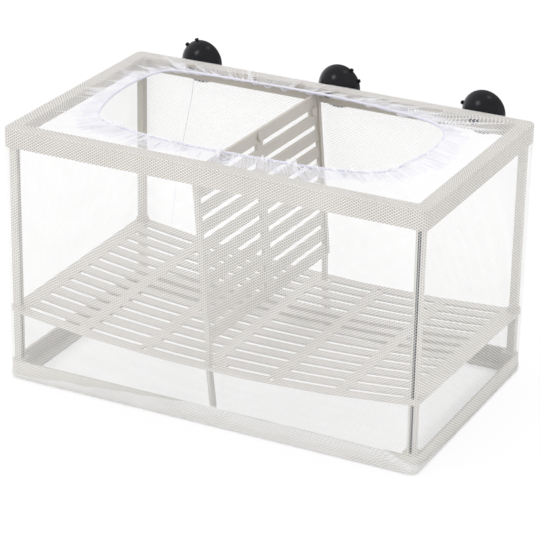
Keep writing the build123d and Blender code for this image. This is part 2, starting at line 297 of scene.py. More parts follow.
def make_studio():
    """A white floor that keeps a faint shadow, a white surround and two soft lamps."""
    scene = bpy.context.scene
    scene.view_settings.view_transform = "Standard"
    world = bpy.data.worlds.new("surround")
    scene.world = world
    world.use_nodes = True
    nt = world.node_tree
    place = nt.nodes.new("ShaderNodeTexCoord").outputs["Generated"]
    left, right = SURROUND_LIGHT
    soft = map_range(nt, split_vector(nt, place)["X"], left, right, {"From Min": -1.0})
    path = nt.nodes.new("ShaderNodeLightPath").outputs
    seen_through = maths(nt, "MAXIMUM", path["Is Glossy Ray"], path["Is Transmission Ray"])
    seen = maths(nt, "MAXIMUM", path["Is Camera Ray"], seen_through)
    background = nt.nodes["Background"]
    background.inputs["Color"].default_value = (1, 1, 1, 1)
    link(nt, map_range(nt, seen, soft, 1.0), background.inputs["Strength"])

    side = FLOOR_HALF
    mesh = bpy.data.meshes.new("floor")
    mesh.from_pydata(
        [(-side, -side, 0), (side, -side, 0), (side, side, 0), (-side, side, 0)], [], [(0, 1, 2, 3)]
    )
    floor = add_object("floor", mesh)
    floor.location.z = FLOOR_Z
    material, nt, output = new_material("white floor")
    diffuse = add_node(nt, "ShaderNodeBsdfDiffuse", {"Color": (0.97, 0.97, 0.97, 1)})
    glow = nt.nodes.new("ShaderNodeEmission")
    seen = nt.nodes.new("ShaderNodeLightPath").outputs["Is Camera Ray"]
    shaders = {"Fac": maths(nt, "MULTIPLY", seen, FLOOR_GLOW), 1: diffuse.outputs[0], 2: glow.outputs[0]}
    link(nt, add_node(nt, "ShaderNodeMixShader", shaders).outputs[0], output.inputs["Surface"])
    mesh.materials.append(material)

    for name, place, size, watts in LAMPS:
        data = bpy.data.lights.new(name, "AREA")
        data.shape = "DISK"
        data.size = size
        data.energy = watts
        lamp = add_object(name, data)
        lamp.location = place
        aim = np.array(LAMP_TARGET) - np.array(place)
        lamp.rotation_euler = (
            math.atan2(math.hypot(aim[0], aim[1]), -aim[2]),
            0,
            math.atan2(-aim[0], aim[1]),
        )


# ---------------------------------------------------------------- materials
def principled(nt, output, roughness):
    shader = add_node(nt, "ShaderNodeBsdfPrincipled", {"Roughness": roughness})
    link(nt, shader.outputs[0], output.inputs["Surface"])
    return shader


def noise(nt, coordinates, scale, detail=3.0):
    inputs = {"Vector": coordinates, "Scale": scale, "Detail": detail}
    return add_node(nt, "ShaderNodeTexNoise", inputs).outputs["Fac"]


def blend_colours(nt, value, stops, low, high):
    """A colour that goes from low to high between two values."""
    ramp = add_node(nt, "ShaderNodeValToRGB", {"Fac": value})
    for element, stop, colour in zip(ramp.color_ramp.elements, stops, (low, high)):
        element.position = stop
        element.color = (*colour, 1)
    return ramp.outputs["Color"]


def uneven_gloss(nt, shader, value, low, high):
    """Roughness between low and high, after a value from 0 to 1."""
    link(nt, map_range(nt, value, low, high), shader.inputs["Roughness"])


def moulded_plastic(name, low, high, roughness=0.42, groove=None):
    """Grey moulded plastic: slow colour drift and a fine satin grain. A groove is the x and y of the
    post's middle and the groove's direction, and gets painted shade inside: a near-black colour where the
    groove is."""
    material, nt, output = new_material(name)
    place = nt.nodes.new("ShaderNodeTexCoord").outputs["Object"]
    shader = principled(nt, output, roughness)
    colour = blend_colours(nt, noise(nt, place, 26.0), (0.3, 0.7), low, high)
    if groove:
        # painted shade: near-black colour inside the post's groove
        mixed = {0: inside_groove(nt, place, *groove), 6: colour, 7: (*GROOVE_SHADE, 1)}
        colour = add_node(nt, "ShaderNodeMix", mixed, data_type="RGBA").outputs[2]
    link(nt, colour, shader.inputs["Base Color"])
    uneven_gloss(nt, shader, noise(nt, place, 180.0), roughness - 0.06, roughness + 0.08)
    grain = {"Height": noise(nt, place, 900.0, 4.0), "Strength": 0.25, "Distance": 0.00006}
    link(nt, add_node(nt, "ShaderNodeBump", grain).outputs["Normal"], shader.inputs["Normal"])
    return material


def inside_groove(nt, place, middle, direction):
    """1 inside a post's groove and 0 outside, from the place on the post."""
    split = split_vector(nt, place)
    if direction[0]:
        across, deep = split["Y"], split["X"]
        across_at, deep_at = middle[1], middle[0]
    else:
        across, deep = split["X"], split["Y"]
        across_at, deep_at = middle
    offset = maths(nt, "ABSOLUTE", maths(nt, "SUBTRACT", across, across_at * MM))
    within = maths(nt, "LESS_THAN", offset, GROOVE_HALF_WIDTH * MM)
    outward = maths(nt, "MULTIPLY", maths(nt, "SUBTRACT", deep, deep_at * MM), float(sum(direction)))
    below_mouth = maths(nt, "LESS_THAN", outward, GROOVE_MOUTH * MM)
    above_bottom = maths(nt, "GREATER_THAN", outward, GROOVE_BOTTOM * MM)
    return maths(nt, "MULTIPLY", within, maths(nt, "MULTIPLY", below_mouth, above_bottom))


def black_rubber():
    """Smooth moulded rubber, not quite even in its black and in its gloss."""
    material, nt, output = new_material("black rubber")
    place = nt.nodes.new("ShaderNodeTexCoord").outputs["Object"]
    shader = principled(nt, output, 0.2)
    shader.inputs["Specular IOR Level"].default_value = 0.2
    darker, lighter = (0.005, 0.005, 0.007), (0.010, 0.010, 0.014)
    colour = blend_colours(nt, noise(nt, place, 140.0), (0.35, 0.8), darker, lighter)
    link(nt, colour, shader.inputs["Base Color"])
    uneven_gloss(nt, shader, noise(nt, place, 60.0), 0.14, 0.24)
    return material


def thread_material(name, colour):
    """Polyester thread; each thread is real, so its finish is one plain sheen."""
    material, nt, output = new_material(name)
    shader = principled(nt, output, 0.62)
    shader.inputs["Base Color"].default_value = (*colour, 1)
    shader.inputs["Sheen Weight"].default_value = 0.15
    return material


# ---------------------------------------------------------------- knitted net, with geometry nodes
def start_tree(title, carrier, sizes, counts=()):
    """A new tree with its named inputs: the carrier, the sizes with their usual values, the counts and
    the material. Gives the tree, each input's identifier and the sockets that they come in by."""
    tree = bpy.data.node_groups.new(title, "GeometryNodeTree")
    wanted = [(carrier, "NodeSocketGeometry", None)]
    wanted += [(name, "NodeSocketFloat", value) for name, value in sizes.items()]
    wanted += [(name, "NodeSocketInt", 10) for name in counts]
    wanted += [("Material", "NodeSocketMaterial", None)]
    names = {}
    for name, kind, value in wanted:
        item = tree.interface.new_socket(name=name, in_out="INPUT", socket_type=kind)
        if value is not None:
            item.default_value = value
        names[name] = item.identifier
    return tree, names, tree.nodes.new("NodeGroupInput").outputs


def end_tree(tree, geometry, material):
    """Ends a tree with its material and its output."""
    tree.interface.new_socket(name="Result", in_out="OUTPUT", socket_type="NodeSocketGeometry")
    dressed = add_node(tree, "GeometryNodeSetMaterial", {"Geometry": geometry, "Material": material})
    add_node(tree, "NodeGroupOutput", {0: dressed.outputs[0]})


def named_value(tree, name, kind):
    node = add_node(tree, "GeometryNodeInputNamedAttribute", {"Name": name}, data_type=kind)
    return node.outputs["Attribute"]


def plain_mesh(title, mesh, tree_and_names, values):
    """The plain mesh that a tree makes of a carrier mesh with these values for its inputs."""
    carrier = add_object(title, mesh)
    modifier = carrier.modifiers.new(title, "NODES")
    modifier.node_group, names = tree_and_names
    for name, value in values.items():
        modifier[names[name]] = value
    bpy.context.view_layer.update()
    shown = carrier.evaluated_get(bpy.context.evaluated_depsgraph_get())
    made = bpy.data.meshes.new_from_object(shown)
    bpy.data.objects.remove(carrier)
    return made


def one_thread(tree, length, width, x, y, z, angle):
    """A flat stretch of thread of the given length, turned and put in its place in the cell."""
    sizes = {"Vertices X": 2, "Vertices Y": 2, "Size X": length, "Size Y": width}
    strip = add_node(tree, "GeometryNodeMeshGrid", sizes).outputs["Mesh"]
    turn = vector(tree, 0.0, 0.0, angle)
    put = {"Geometry": strip, "Translation": vector(tree, x, y, z), "Rotation": turn}
    return add_node(tree, "GeometryNodeTransform", put).outputs["Geometry"]


def net_tree():
    """Knits hexagonal holes over a sheet: each lattice point gets a cell of three threads, and the
    threads are then laid on the sheet by its cloth coordinates, which run from 0 to 1."""
    tree, names, given = start_tree("knitted net", "Sheet", NET_SIZES, NET_COUNTS)

    # the lattice: one point for each hole, every other column half a hole higher
    columns_less_one = maths(tree, "SUBTRACT", given["Columns"], 1.0)
    rows_less_one = maths(tree, "SUBTRACT", given["Rows"], 1.0)
    grid = {
        "Vertices X": given["Columns"],
        "Vertices Y": given["Rows"],
        "Size X": columns_less_one,
        "Size Y": rows_less_one,
    }
    lattice = add_node(tree, "GeometryNodeMeshGrid", grid).outputs["Mesh"]
    spot = tree.nodes.new("GeometryNodeInputPosition").outputs[0]
    split = split_vector(tree, spot)
    own_column = maths(tree, "ADD", split["X"], maths(tree, "MULTIPLY", columns_less_one, 0.5))
    column = maths(tree, "ROUND", maths(tree, "ADD", own_column, given["First Column"]))
    row = maths(tree, "ADD", split["Y"], maths(tree, "MULTIPLY", rows_less_one, 0.5))
    stagger = maths(tree, "MULTIPLY", maths(tree, "FLOORED_MODULO", column, 2.0), 0.5)
    cell_x = maths(tree, "MULTIPLY", column, given["Across"])
    cell_y = maths(tree, "MULTIPLY", maths(tree, "ADD", row, stagger), given["Along"])
    spread = {"Geometry": lattice, "Position": vector(tree, cell_x, cell_y, 0.0)}
    points = add_node(tree, "GeometryNodeSetPosition", spread).outputs["Geometry"]

    # the cell: a short side on top of the hole and the two long sides to its right
    half_along = maths(tree, "MULTIPLY", given["Along"], 0.5)
    run = maths(tree, "SUBTRACT", given["Across"], given["Knot"])
    middle_x = maths(tree, "MULTIPLY", given["Across"], 0.5)
    slope = maths(tree, "ARCTAN2", half_along, run)
    falling = maths(tree, "MULTIPLY", slope, -1.0)
    squares = [maths(tree, "MULTIPLY", length, length) for length in (run, half_along)]
    side = maths(tree, "SQRT", maths(tree, "ADD", *squares))
    above = given["Step"]
    below = maths(tree, "MULTIPLY", above, -1.0)
    knot_length = maths(tree, "ADD", given["Knot"], given["Thread"])
    upper_y = maths(tree, "MULTIPLY", half_along, 0.5)
    lower_y = maths(tree, "MULTIPLY", half_along, -0.5)
    threads = [
        one_thread(tree, length, given["Thread"], x, y, z, angle)
        for length, x, y, z, angle in (
            (knot_length, 0.0, half_along, above, 0.0),
            (side, middle_x, upper_y, 0.0, falling),
            (side, middle_x, lower_y, below, slope),
        )
    ]
    cell = add_node(tree, "GeometryNodeJoinGeometry", {0: threads}).outputs[0]
    cells = add_node(tree, "GeometryNodeInstanceOnPoints", {"Points": points, "Instance": cell})
    real = add_node(tree, "GeometryNodeRealizeInstances", {0: cells.outputs[0]}).outputs[0]

    # lay the threads on the sheet
    flat = split_vector(tree, spot)
    width = maths(tree, "MULTIPLY", given["All Columns"], given["Across"])
    height = maths(tree, "MULTIPLY", given["All Rows"], given["Along"])
    u = maths(tree, "FRACT", maths(tree, "DIVIDE", flat["X"], width))
    v_free = maths(tree, "DIVIDE", flat["Y"], height)
    v = maths(tree, "MINIMUM", maths(tree, "MAXIMUM", v_free, 0.0), 1.0)
    cloth = named_value(tree, "cloth", "FLOAT_VECTOR")
    samples = []
    for value in (spot, tree.nodes.new("GeometryNodeInputNormal").outputs[0]):
        found = {0: given["Sheet"], 1: value, 2: cloth, 3: vector(tree, u, v, 0.0)}
        sample = add_node(tree, "GeometryNodeSampleUVSurface", found, data_type="FLOAT_VECTOR")
        samples.append(sample.outputs[0])
    on_sheet, outward = samples
    scaled = {0: outward, "Scale": flat["Z"]}
    lift = add_node(tree, "ShaderNodeVectorMath", scaled, operation="SCALE").outputs[0]
    lifted = add_node(tree, "ShaderNodeVectorMath", {0: on_sheet, 1: lift}, operation="ADD").outputs[0]
    laid = add_node(tree, "GeometryNodeSetPosition", {"Geometry": real, "Position": lifted})
    end_tree(tree, laid.outputs[0], given["Material"])
    return tree, names


def sheet_mesh(name, points, even_rows=False):
    """A mesh from rows of points, points[row][column], with cloth coordinates from 0 to 1. They follow
    the length along the rows, unless the rows are already even on the cloth."""
    rows, columns = points.shape[:2]
    steps = np.linalg.norm(np.diff(points, axis=0), axis=2).mean(axis=1)
    down = np.linspace(0, 1, rows) if even_rows else np.concatenate([[0], np.cumsum(steps)]) / steps.sum()
    index = np.arange(rows * columns).reshape(rows, columns)
    faces = np.stack(
        [index[:-1, :-1], index[:-1, 1:], index[1:, 1:], index[1:, :-1]], axis=-1
    ).reshape(-1, 4)
    mesh = bpy.data.meshes.new(name)
    mesh.from_pydata(points.reshape(-1, 3) * MM, [], faces.tolist())
    v, u = np.meshgrid(down, np.linspace(0, 1, columns), indexing="ij")
    corners = np.stack([u.ravel(), v.ravel()], axis=1)[faces.ravel()]
    layer = mesh.uv_layers.new(name="cloth")
    layer.data.foreach_set("uv", corners.astype(np.float32).ravel())
    mesh.shade_smooth()
    return mesh


def knit(name, mesh, material, first, columns, rows, all_columns, all_rows):
    """The net over one sheet, as a plain mesh of threads."""
    counts = dict(zip(NET_COUNTS, (first, columns, rows, all_columns, all_rows)))
    threads = plain_mesh("net", mesh, NET, {**NET_SIZES, **counts, "Material": material})
    threads.name = name
    one_material(threads, material)
    return add_object(name, threads)


# ---------------------------------------------------------------- slatted plates and seams
def plate_tree():
    """Makes a flat plate with its top at height 0: the carrier's edges are the plate's outline, and
    each loose point is a slot with its own size."""
    sizes = {"Thickness": SHELF_THICKNESS * MM, "Slot Corner": SLOT_CORNER * MM}
    tree, names, given = start_tree("slatted plate", "Carrier", sizes)

    size = named_value(tree, "size", "FLOAT_VECTOR")
    is_slot = maths(tree, "GREATER_THAN", split_vector(tree, size)["X"], 0.0)
    square = add_node(tree, "GeometryNodeCurvePrimitiveQuadrilateral", {"Width": 1.0, "Height": 1.0})
    squares = {
        "Points": given["Carrier"],
        "Selection": is_slot,
        "Instance": square.outputs[0],
        "Scale": size,
    }
    placed = add_node(tree, "GeometryNodeInstanceOnPoints", squares).outputs[0]
    slots = add_node(tree, "GeometryNodeRealizeInstances", {0: placed}).outputs[0]
    outline = add_node(tree, "GeometryNodeMeshToCurve", {"Mesh": given["Carrier"]}).outputs[0]
    soft = []
    for curve, radius, count in (
        (slots, given["Slot Corner"], 4),
        (outline, named_value(tree, "round", "FLOAT"), 6),
    ):
        corners = {"Curve": curve, "Radius": radius, "Count": count}
        soft.append(add_node(tree, "GeometryNodeFilletCurve", corners, mode="POLY").outputs[0])
    lines = add_node(tree, "GeometryNodeJoinGeometry", {0: soft}).outputs[0]
    finer = add_node(tree, "GeometryNodeSubdivideCurve", {"Curve": lines, "Cuts": 4}).outputs[0]

    top = add_node(tree, "GeometryNodeFillCurve", {"Curve": finer}).outputs[0]
    downward = {
        "Mesh": top,
        "Individual": False,
        "Offset": (0.0, 0.0, -1.0),
        "Offset Scale": given["Thickness"],
    }
    lower = add_node(tree, "GeometryNodeExtrudeMesh", downward).outputs["Mesh"]
    outward = add_node(tree, "GeometryNodeFlipFaces", {"Mesh": lower}).outputs[0]
    both = add_node(tree, "GeometryNodeJoinGeometry", {0: [outward, top]}).outputs[0]
    closed = add_node(tree, "GeometryNodeMergeByDistance", {"Geometry": both, "Distance": 0.001 * MM})
    real = add_node(tree, "GeometryNodeRealizeInstances", {0: closed.outputs[0]}).outputs[0]
    end_tree(tree, real, given["Material"])
    return tree, names


def flat_plate(outline, slots, thickness, material, slot_corner=SLOT_CORNER):
    """Points and faces of a flat plate, in millimetres. The outline is a list of x, y and corner
    radius, and each slot is x, y, length and width."""
    count = len(outline)
    mesh = bpy.data.meshes.new("plate carrier")
    places = [(x, y, 0.0) for x, y, _ in outline] + [(x, y, 0.0) for x, y, _, _ in slots]
    mesh.from_pydata(np.array(places) * MM, [(k, (k + 1) % count) for k in range(count)], [])
    size = mesh.attributes.new("size", "FLOAT_VECTOR", "POINT")
    sizes = [(0.0, 0.0, 0.0)] * count + [(length * MM, width * MM, 1.0) for _, _, length, width in slots]
    size.data.foreach_set("vector", np.array(sizes).ravel())
    corner = mesh.attributes.new("round", "FLOAT", "POINT")
    corner.data.foreach_set("value", [radius * MM for _, _, radius in outline] + [0.0] * len(slots))
    values = {"Thickness": thickness * MM, "Slot Corner": slot_corner * MM, "Material": material}
    plate = plain_mesh("plate", mesh, PLATE, values)
    places = np.zeros(len(plate.vertices) * 3)
    plate.vertices.foreach_get("co", places)
    faces = [tuple(face.vertices) for face in plate.polygons]
    return places.reshape(-1, 3) / MM, faces


def rounded_box(half, radius=0.0):
    """Outline of a rectangle for flat_plate."""
    hx, hy = half
    return [(-hx, -hy, radius), (hx, -hy, radius), (hx, hy, radius), (-hx, hy, radius)]


def hard_piece(name, shells, material):
    """One object from several closed shells, each with its points and faces."""
    places, faces, start = [], [], 0
    for points, own_faces in shells:
        places.append(points)
        faces += [tuple(start + corner for corner in face) for face in own_faces]
        start += len(points)
    mesh = bpy.data.meshes.new(name)
    mesh.from_pydata(np.concatenate(places) * MM, [], faces)
    mesh.materials.append(material)
    mesh.shade_smooth()
    mesh.set_sharp_from_angle(angle=math.radians(35))
    return add_object(name, mesh)


def shelf_height(x, y):
    """Height of the plate's top: an arch along each long edge, straight from front to rear."""
    half_x, half_y = np.array(SHELF_SIZE) / 2
    edges = []
    for left, middle, right in (SHELF_FRONT_Z, SHELF_REAR_Z):
        along = x / half_x
        edges.append(middle + (right - left) / 2 * along + ((left + right) / 2 - middle) * along**2)
    share = (y + half_y) / (2 * half_y)
    return edges[0] + (edges[1] - edges[0]) * share


def make_shelf(material):
    """The slatted plate with its leg slots, and a collar round each post."""
    column_step, row_step = SLIT_PITCH
    slots = []
    for column in range(SLIT_COLUMNS):
        for row in range(SLIT_ROWS):
            beside_leg = column == SLIT_COLUMNS // 2 and row in (0, SLIT_ROWS - 1)
            shorter = SHORT_SLIT if beside_leg else 0.0
            x = SLIT_MIDDLE + column_step * (column - (SLIT_COLUMNS - 1) / 2) + shorter / 2
            y = row_step * (row - (SLIT_ROWS - 1) / 2)
            slots.append((x, y, SLIT_SIZE[0] - shorter, SLIT_SIZE[1]))
    for leg_y in leg_places():
        slots.append((LEG_SLOT_X + leg_y * math.sin(DIVIDER_TURN), leg_y) + LEG_SLOT)
        slots += [
            (SLIT_MIDDLE + side * SIDE_SLOT_X, leg_y, SIDE_SLOT_WIDTH, LEG_SLOT[1]) for side in (-1, 1)
        ]
    posts = [(side_x * POST_PLACE[0], side_y * POST_PLACE[1]) for side_x in (-1, 1) for side_y in (-1, 1)]
    slots += [(x, y, POST_HOLE, POST_HOLE) for x, y in posts]
    outline = rounded_box(np.array(SHELF_SIZE) / 2, SHELF_CORNER)
    points, faces = flat_plate(outline, slots, SHELF_THICKNESS, material)
    points[:, 2] += shelf_height(points[:, 0], points[:, 1])
    shells = [(points, faces)]
    for x, y in posts:
        outline = rounded_box((COLLAR_SIZE / 2, COLLAR_SIZE / 2), COLLAR_CORNER)
        hole = [(0.0, 0.0, POST_HOLE, POST_HOLE)]
        depth = COLLAR_RISE + SHELF_THICKNESS + COLLAR_DROP
        points, faces = flat_plate(outline, hole, depth, material)
        shells.append((points + (x, y, shelf_height(x, y) + COLLAR_RISE), faces))
    return hard_piece("shelf_plate", shells, material)


def leg_places():
    """Where the divider's two legs stand, along its depth."""
    return DIVIDER_FRONT + LEG_INSET + LEG_WIDTH / 2, DIVIDER_REAR - LEG_INSET - LEG_WIDTH / 2


def bend_divider(points):
    """Flat points, along the divider and up its sheet, to their places on its bent section."""
    line = np.array(DIVIDER_LINE)
    runs = np.diff(line, axis=0)
    lengths = np.linalg.norm(runs, axis=1)
    at = np.concatenate([[0], np.cumsum(lengths)])
    faces_right = np.column_stack([runs[:, 1], -runs[:, 0]]) / lengths[:, None]
    between = (faces_right[:-1] + faces_right[1:]) / 2
    at_knots = np.concatenate([faces_right[:1], between, faces_right[-1:]])
    along, up, off = points.T
    across = np.interp(up, at, line[:, 0]) + off * np.interp(up, at, at_knots[:, 0])
    height = np.interp(up, at, line[:, 1]) + off * np.interp(up, at, at_knots[:, 1])
    x = DIVIDER_X + along * math.sin(DIVIDER_TURN) + across * math.cos(DIVIDER_TURN)
    y = along * math.cos(DIVIDER_TURN) - across * math.sin(DIVIDER_TURN)
    return np.column_stack([x, y, height])


def make_divider(material):
    """The slatted board on its two legs, with a rim at each end and three pads at the top."""
    lengths = np.linalg.norm(np.diff(DIVIDER_LINE, axis=0), axis=1)
    shelf_at, bend_at, top_at = np.cumsum(lengths)
    front, rear = DIVIDER_FRONT, DIVIDER_REAR
    leg_front, leg_rear = front + LEG_INSET, rear - LEG_INSET
    outline = [
        (leg_front, 0, 1), (leg_front + LEG_WIDTH, 0, 1), (leg_front + LEG_WIDTH, shelf_at, 0),
        (leg_front + LEG_WIDTH, bend_at, 1.5), (leg_rear - LEG_WIDTH, bend_at, 1.5),
        (leg_rear - LEG_WIDTH, shelf_at, 0), (leg_rear - LEG_WIDTH, 0, 1), (leg_rear, 0, 1),
        (leg_rear, shelf_at, 0), (leg_rear, bend_at, 0), (rear, bend_at, 0), (rear, top_at, 1),
        (front, top_at, 1), (front, bend_at, 0), (leg_front, bend_at, 0), (leg_front, shelf_at, 0),
    ]
    middle = (front + rear) / 2
    half = (rear - front) / 2
    slots = []
    for row in range(BOARD_ROWS):
        up = bend_at + BOARD_FIRST_ROW + row * BOARD_SLOT_PITCH
        inner = BOARD_MIDDLE / 2
        outer = half - BOARD_SIDE - (TOP_ROW_SHORT if row == BOARD_ROWS - 1 else 0)
        slots += [
            (middle + side * (inner + outer) / 2, up, outer - inner, BOARD_SLOT_HEIGHT) for side in (-1, 1)
        ]
    shells = []
    points, faces = flat_plate(outline, slots, DIVIDER_THICKNESS, material, BOARD_SLOT_CORNER)
    shells.append((bend_divider(points + (0, 0, DIVIDER_THICKNESS / 2)), faces))
    top_row = bend_at + BOARD_FIRST_ROW + (BOARD_ROWS - 1) * BOARD_SLOT_PITCH
    beside = half - BOARD_SIDE - TOP_ROW_SHORT + PAD_RADIUS + 0.6
    above = (top_row + BOARD_SLOT_HEIGHT / 2 + top_at) / 2
    pads = [(middle - beside, top_row), (middle, above), (middle + beside, top_row)]
    for along, up in pads:
        disc = rounded_box((PAD_RADIUS, PAD_RADIUS), PAD_RADIUS - 0.01)
        points, faces = flat_plate(disc, [], DIVIDER_THICKNESS + 1.0, material)
        shells.append((bend_divider(points + (along, up, DIVIDER_THICKNESS / 2 + 0.5)), faces))
    rim_half = ((RIM_WIDTH / 2), (top_at - bend_at) / 2 - 1.0)
    for along in (front + RIM_WIDTH / 2 + 0.05, rear - RIM_WIDTH / 2 - 0.05):
        thickness = DIVIDER_THICKNESS + 2 * RIM_RISE
        points, faces = flat_plate(rounded_box(rim_half, 0.5), [], thickness, material)
        lifted = points + (along, (bend_at + top_at) / 2, DIVIDER_THICKNESS / 2 + RIM_RISE)
        shells.append((bend_divider(lifted), faces))
    return hard_piece("divider_board", shells, material)


def seam_tree():
    """Sews along a line: a thin cord with a slanting stitch over it at every step."""
    tree, names, given = start_tree("sewn seam", "Line", SEAM_SIZES)
    line = add_node(tree, "GeometryNodeMeshToCurve", {"Mesh": given["Line"]}).outputs[0]
    circle = {"Resolution": 6, "Radius": given["Cord Radius"]}
    section = add_node(tree, "GeometryNodeCurvePrimitiveCircle", circle).outputs[0]
    sweep = {"Curve": line, "Profile Curve": section, "Fill Caps": True}
    cord = add_node(tree, "GeometryNodeCurveToMesh", sweep).outputs[0]

    along = {"Curve": line, "Length": given["Stitch Step"]}
    steps = add_node(tree, "GeometryNodeCurveToPoints", along, mode="LENGTH").outputs["Points"]
    bar = {"Vertices": 6, "Radius": given["Stitch Radius"], "Depth": given["Stitch Length"]}
    stitch = add_node(tree, "GeometryNodeMeshCylinder", bar).outputs["Mesh"]
    slant = {"Geometry": stitch, "Rotation": vector(tree, 0.0, given["Slant"], 0.0)}
    slanting = add_node(tree, "GeometryNodeTransform", slant).outputs["Geometry"]
    sewn = {"Points": steps, "Instance": slanting, "Rotation": vector(tree, 0.0, 0.0, 0.0)}
    stitches = add_node(tree, "GeometryNodeInstanceOnPoints", sewn).outputs[0]
    both = add_node(tree, "GeometryNodeJoinGeometry", {0: [stitches, cord]}).outputs[0]
    real = add_node(tree, "GeometryNodeRealizeInstances", {0: both}).outputs[0]
    end_tree(tree, real, given["Material"])
    return tree, names


def make_seam(material):
    """The seam that closes the bag's wall, just outside the rear net."""
    knots = np.array(SEAM)
    outside = TOP_HALF[1] + SEAM_OFF - (TOP_HALF[1] - BASE_HALF[1]) * (1 - knots[:, 1] / TOP_Z)
    places = np.column_stack([knots[:, 0], outside, knots[:, 1]]) * MM
    mesh = bpy.data.meshes.new("seam line")
    mesh.from_pydata(places, [(k, k + 1) for k in range(len(places) - 1)], [])
    sewn = plain_mesh("seam", mesh, seam_tree(), {**SEAM_SIZES, "Material": material})
    one_material(sewn, material)
    sewn.shade_smooth()
    return add_object("wall_seam", sewn)


# ---------------------------------------------------------------- shape of the bag
def rounded_rectangle(half, radius, count):
    """count points round a rectangle from the middle of its rear side, clockwise seen from above,
    evenly spaced, with their outward directions."""
    hx, hy = half
    straight_x, straight_y, quarter = 2 * (hx - radius), 2 * (hy - radius), math.pi * radius / 2
    total = 2 * (straight_x + straight_y) + 4 * quarter
    places, normals = [], []
    for distance in np.arange(count) / count * total:
        distance = (distance + straight_x / 2) % total
        for side in range(4):
            length = straight_x if side % 2 == 0 else straight_y
            angle = math.pi / 2 - side * math.pi / 2
            out = np.array([math.cos(angle), math.sin(angle)])
            along = np.array([math.sin(angle), -math.cos(angle)])
            reach, span = (hy, hx) if side % 2 == 0 else (hx, hy)
            if distance < length:
                places.append(out * reach + along * (distance - length / 2))
                normals.append(out)
                break
            distance -= length
            if distance < quarter:
                turn = distance / radius
                normal = out * math.cos(turn) + along * math.sin(turn)
                places.append(out * (reach - radius) + along * (span - radius) + normal * radius)
                normals.append(normal)
                break
            distance -= quarter
    return np.array(places), np.array(normals)


def outline_at(half, radius, fractions):
    """Points and outward directions at the given fractions of the way round."""
    places, normals = rounded_rectangle(half, radius, OUTLINE_STEPS)
    steps = np.arange(OUTLINE_STEPS) / OUTLINE_STEPS
    flat = np.mod(fractions, 1.0)
    curves = (*places.T, *normals.T)
    find = [np.interp(flat, steps, values, period=1.0) for values in curves]
    return np.stack(find[:2], axis=-1), np.stack(find[2:], axis=-1)


def bag_half(z):
    """Half length and half depth of the skeleton's faces at a height."""
    return BASE_HALF + (TOP_HALF - BASE_HALF) * max(z, 0.0) / TOP_Z


def wall_points(columns):
    """The bag's wall: straight from the top frame to the base frame and turned in under it, with one
    crease that runs down to the front right corner."""
    rows = []
    (start_x, start_z), (end_x, end_z) = CREASE
    low_z = WRAP + 0.2
    sections = [(z, 0.0) for z in np.linspace(TURN_Z, 60.0, 40)]
    sections += [(z, 0.0) for z in np.linspace(59.0, low_z, 110)]
    turns = np.linspace(0, math.pi / 2, 7)[1:]
    sections += [(low_z - WRAP * math.sin(t), WRAP * (1 - math.cos(t))) for t in turns]
    for z, inset in sections:
        places, normals = rounded_rectangle(bag_half(z) + NET_OFF, NET_CORNER, columns)
        crease_x = start_x + (end_x - start_x) * (start_z - z) / (start_z - end_z)
        on_crease = np.exp(-(((places[:, 0] - crease_x) / CREASE_WIDTH) ** 2)) * (places[:, 1] < 0)
        ends = np.clip((start_z - z) / 8.0, 0, 1) * np.clip((z - end_z) / 2.0 + 1, 0, 1)
        flat = places + normals * (CREASE_HEIGHT * on_crease * ends - inset)[:, None]
        rows.append(np.column_stack([flat, np.full(len(flat), z)]))
    points = np.array(rows)
    return np.concatenate([points, points[:, :1]], axis=1)


def foot_height(fractions):
    """Height of the foot band's folded edge at the given fractions of the way round."""
    span_x, span_y = 2 * TOP_HALF
    starts = {"rear": 0.0, "right": span_x / 2 + span_y / 2, "front": span_x + span_y}
    starts["left"] = 1.5 * span_x + 1.5 * span_y
    clockwise = {"rear": 1, "right": -1, "front": -1, "left": 1}
    total = 2 * (span_x + span_y)
    knots = sorted(
        ((starts[side] + clockwise[side] * at) / total % 1.0, height) for side, at, height in FOOT_EDGE
    )
    where, heights = np.array(knots).T
    edge = np.interp(np.mod(fractions, 1.0), where, heights, period=1.0)
    for cycles, strength in ((23, 0.25), (41, 0.2), (67, 0.15)):
        edge = edge + wave(fractions, cycles, strength)
    return edge


